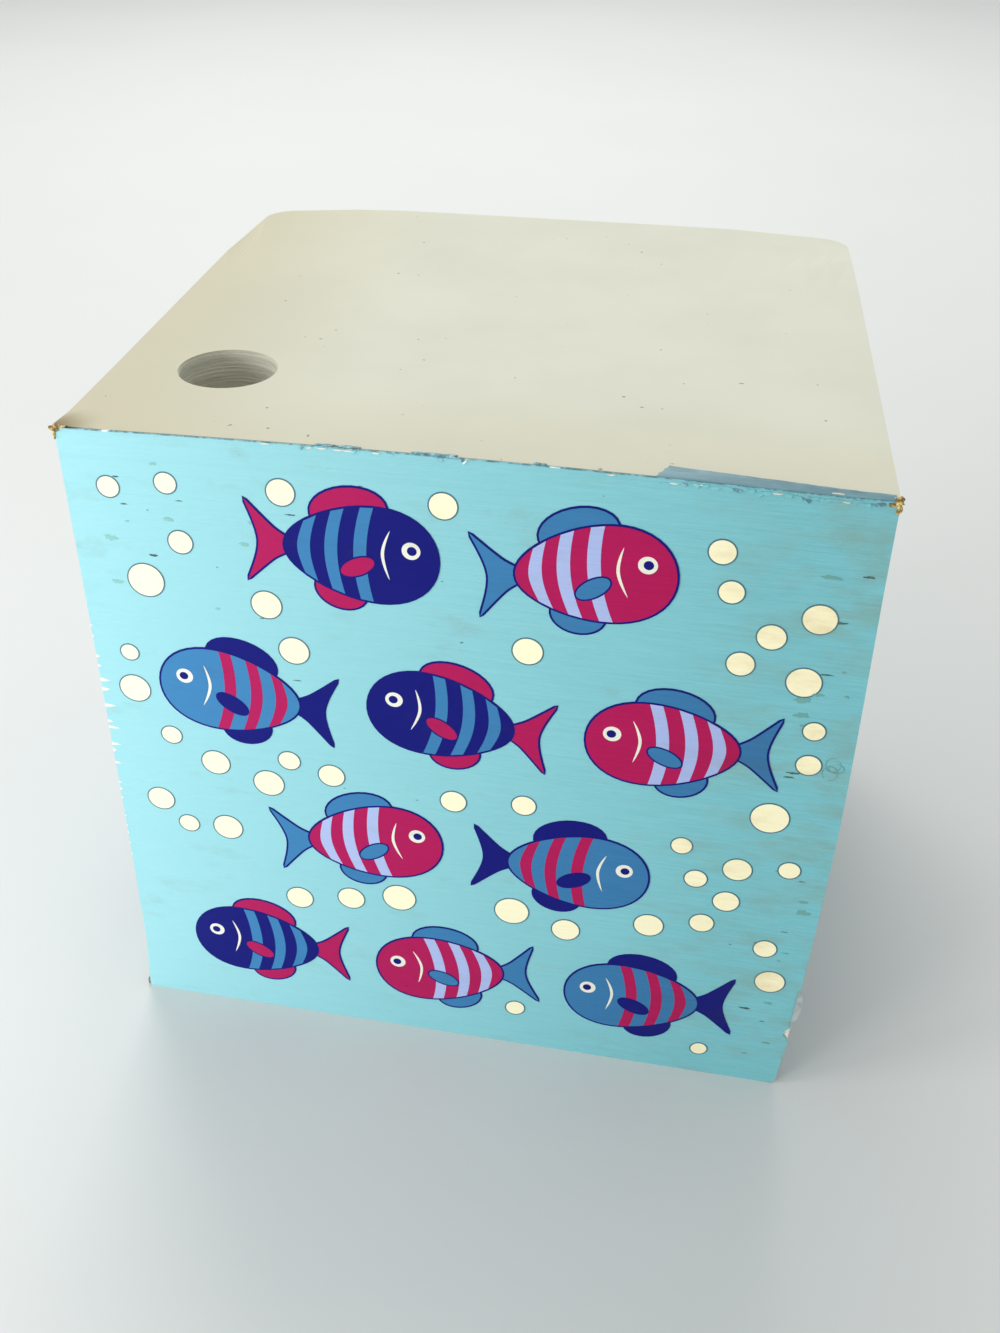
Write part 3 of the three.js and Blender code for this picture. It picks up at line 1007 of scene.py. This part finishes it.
along, across = np.meshgrid(np.linspace(0, 1, 120), np.linspace(0, 1, 12))
flap_width = 2.75 - 1.5 * along
end_tear = 0.25 * np.abs(np.sin(9 * across)) * np.exp(-along / 0.02)
end_slant = 1.1 * (1 - across) * np.exp(-along / 0.05) - end_tear
ragged = 0.05 * wave(60 * along, 0 * along, 3.0, 71) + 0.03 * wave(60 * along, 0 * along, 0.9, 72)
flap_x = flap_low[0] + (flap_high[0] - flap_low[0]) * along - end_slant
flap_x = flap_x + 0.27 * np.exp(-along / 0.05) * across
flap_y = flap_low[1] + 0.02 + across * (flap_width + ragged)
fold = np.exp(-((across - 0.03) / 0.05) ** 2)
flap_z = cube_height + 0.085 + 0.05 * fold + 0.05 * across**3 * (1 + wave(60 * along, 0 * along, 7.0, 73))
front = np.stack([flap_x, flap_y, flap_z], axis=-1)
points, faces = closed_slab(front, front - np.array([0.0, 0.0, 0.06]))
flap = mesh_piece("folded_flap", settled(points), faces.tolist(), [flap_material])
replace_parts(flap, "folded_film_flap")
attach(flap, "top_leaf")

# ---- Dried glue at the corners ------------------------------------------------------------------
# Beads of padding glue gathered at the two front top corners and dried yellow. The left one has browned and
# lifted the corner. A scrap of clear film sticks out from the right edge near the bottom.

glue_material, nodes, links, shader = new_material("dried_glue", 0.3, 0.5)
age = object_noise(nodes, links, (1.0, 1.0, 1.0), 1300.0, 2.0, 0.6)
amber = patterned(nodes, links, age, 0.42, 0.6, (0.20, 0.12, 0.035), (0.70, 0.52, 0.19))
links.new(amber, shader.inputs["Base Color"])
shader.inputs["Subsurface Weight"].default_value = 0.3
shader.inputs["Subsurface Radius"].default_value = (0.0006, 0.0004, 0.0002)
bumped(nodes, links, shader, age, 0.00008)


def bead(centre, radii, seed):
    """A dried bead: a round lump with a random wavy surface, closed by a point at each end."""
    random = np.random.default_rng(seed)
    rows, columns = 13, 20
    polar = np.linspace(0, math.pi, rows)[1:-1]
    turn = np.linspace(0, 2 * math.pi, columns, endpoint=False)
    polar, turn = np.meshgrid(polar, turn, indexing="ij")
    direction = np.stack([np.sin(polar) * np.cos(turn), np.sin(polar) * np.sin(turn), np.cos(polar)], axis=-1)
    direction = np.concatenate([direction.reshape(-1, 3), [[0, 0, 1], [0, 0, -1]]])
    push = np.ones(len(direction))
    for _ in range(6):
        push = push + 0.11 * np.cos(direction @ random.normal(0, 2.6, 3) + random.uniform(0, 6))
    points = np.array(centre) + direction * np.array(radii) * push[:, None]
    ring = np.arange((rows - 2) * columns).reshape(rows - 2, columns)
    beside = np.roll(ring, -1, 1)
    quads = np.stack([ring[:-1], ring[1:], beside[1:], beside[:-1]], axis=-1).reshape(-1, 4).tolist()
    top, bottom = len(points) - 2, len(points) - 1
    caps = [(top, a, b) for a, b in zip(ring[0].tolist(), beside[0].tolist())]
    caps += [(bottom, b, a) for a, b in zip(ring[-1].tolist(), beside[-1].tolist())]
    return points, quads + caps


def glue_piece(name, beads, body):
    """Several beads joined into one piece."""
    parts = [bead(*one) for one in beads]
    starts = np.cumsum([0] + [len(points) for points, _ in parts[:-1]]).tolist()
    faces = [tuple(index + start for index in face) for (_, own), start in zip(parts, starts) for face in own]
    piece = mesh_piece(name, settled(np.concatenate([points for points, _ in parts])), faces, [glue_material])
    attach(piece, body)


# Painted shade: the clear scrap is coloured grey like the shaded table seen through it.
scrap_material, nodes, links, shader = new_material("clear_film", 0.3, 0.5)
scrap_noise = object_noise(nodes, links, (1.0, 1.0, 1.0), 700.0, 2.0, 0.5)
table_shade_seen_through = patterned(nodes, links, scrap_noise, 0.4, 0.65, (0.32, 0.36, 0.37), (0.46, 0.50, 0.50))
links.new(table_shade_seen_through, shader.inputs["Base Color"])
bumped(nodes, links, shader, scrap_noise, 0.00004)
down, out = np.meshgrid(np.linspace(0, 1, 25), np.linspace(0, 1, 7), indexing="ij")
scrap_top, scrap_length, scrap_held = 18.6, 7.2, 0.25
reach = 0.6 * np.sin(math.pi * down**0.8) ** 0.9
scrap_x = right_x - scrap_held + (scrap_held + reach) * out
scrap_y = front_y + 0.02 + 0.25 * out * reach
front = np.stack([scrap_x, scrap_y, scrap_top - scrap_length * down], axis=-1)
front = front[:, ::-1]
points, faces = closed_slab(front, front + np.array([0.0, 0.05, 0.0]))
scrap = mesh_piece("clear_film_scrap", settled(points), faces.tolist(), [scrap_material])
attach(scrap, "lower_block")

glue_piece(
    "dried_glue_left",
    [((-44.9, -42.9, 90.0), (0.55, 0.40, 0.34), 3),
     ((-44.3, -42.8, 90.12), (0.7, 0.28, 0.15), 4),
     ((-45.05, -42.85, 89.2), (0.18, 0.2, 0.6), 5),
     ((-45.0, -42.4, 90.1), (0.22, 0.5, 0.14), 8)],
    "top_leaf",
)
glue_piece(
    "dried_glue_right",
    [((44.85, -42.75, 89.95), (0.50, 0.45, 0.42), 13),
     ((44.95, -42.85, 89.1), (0.28, 0.28, 0.55), 14),
     ((44.3, -42.9, 89.6), (0.4, 0.2, 0.22), 16)],
    "top_leaf",
)
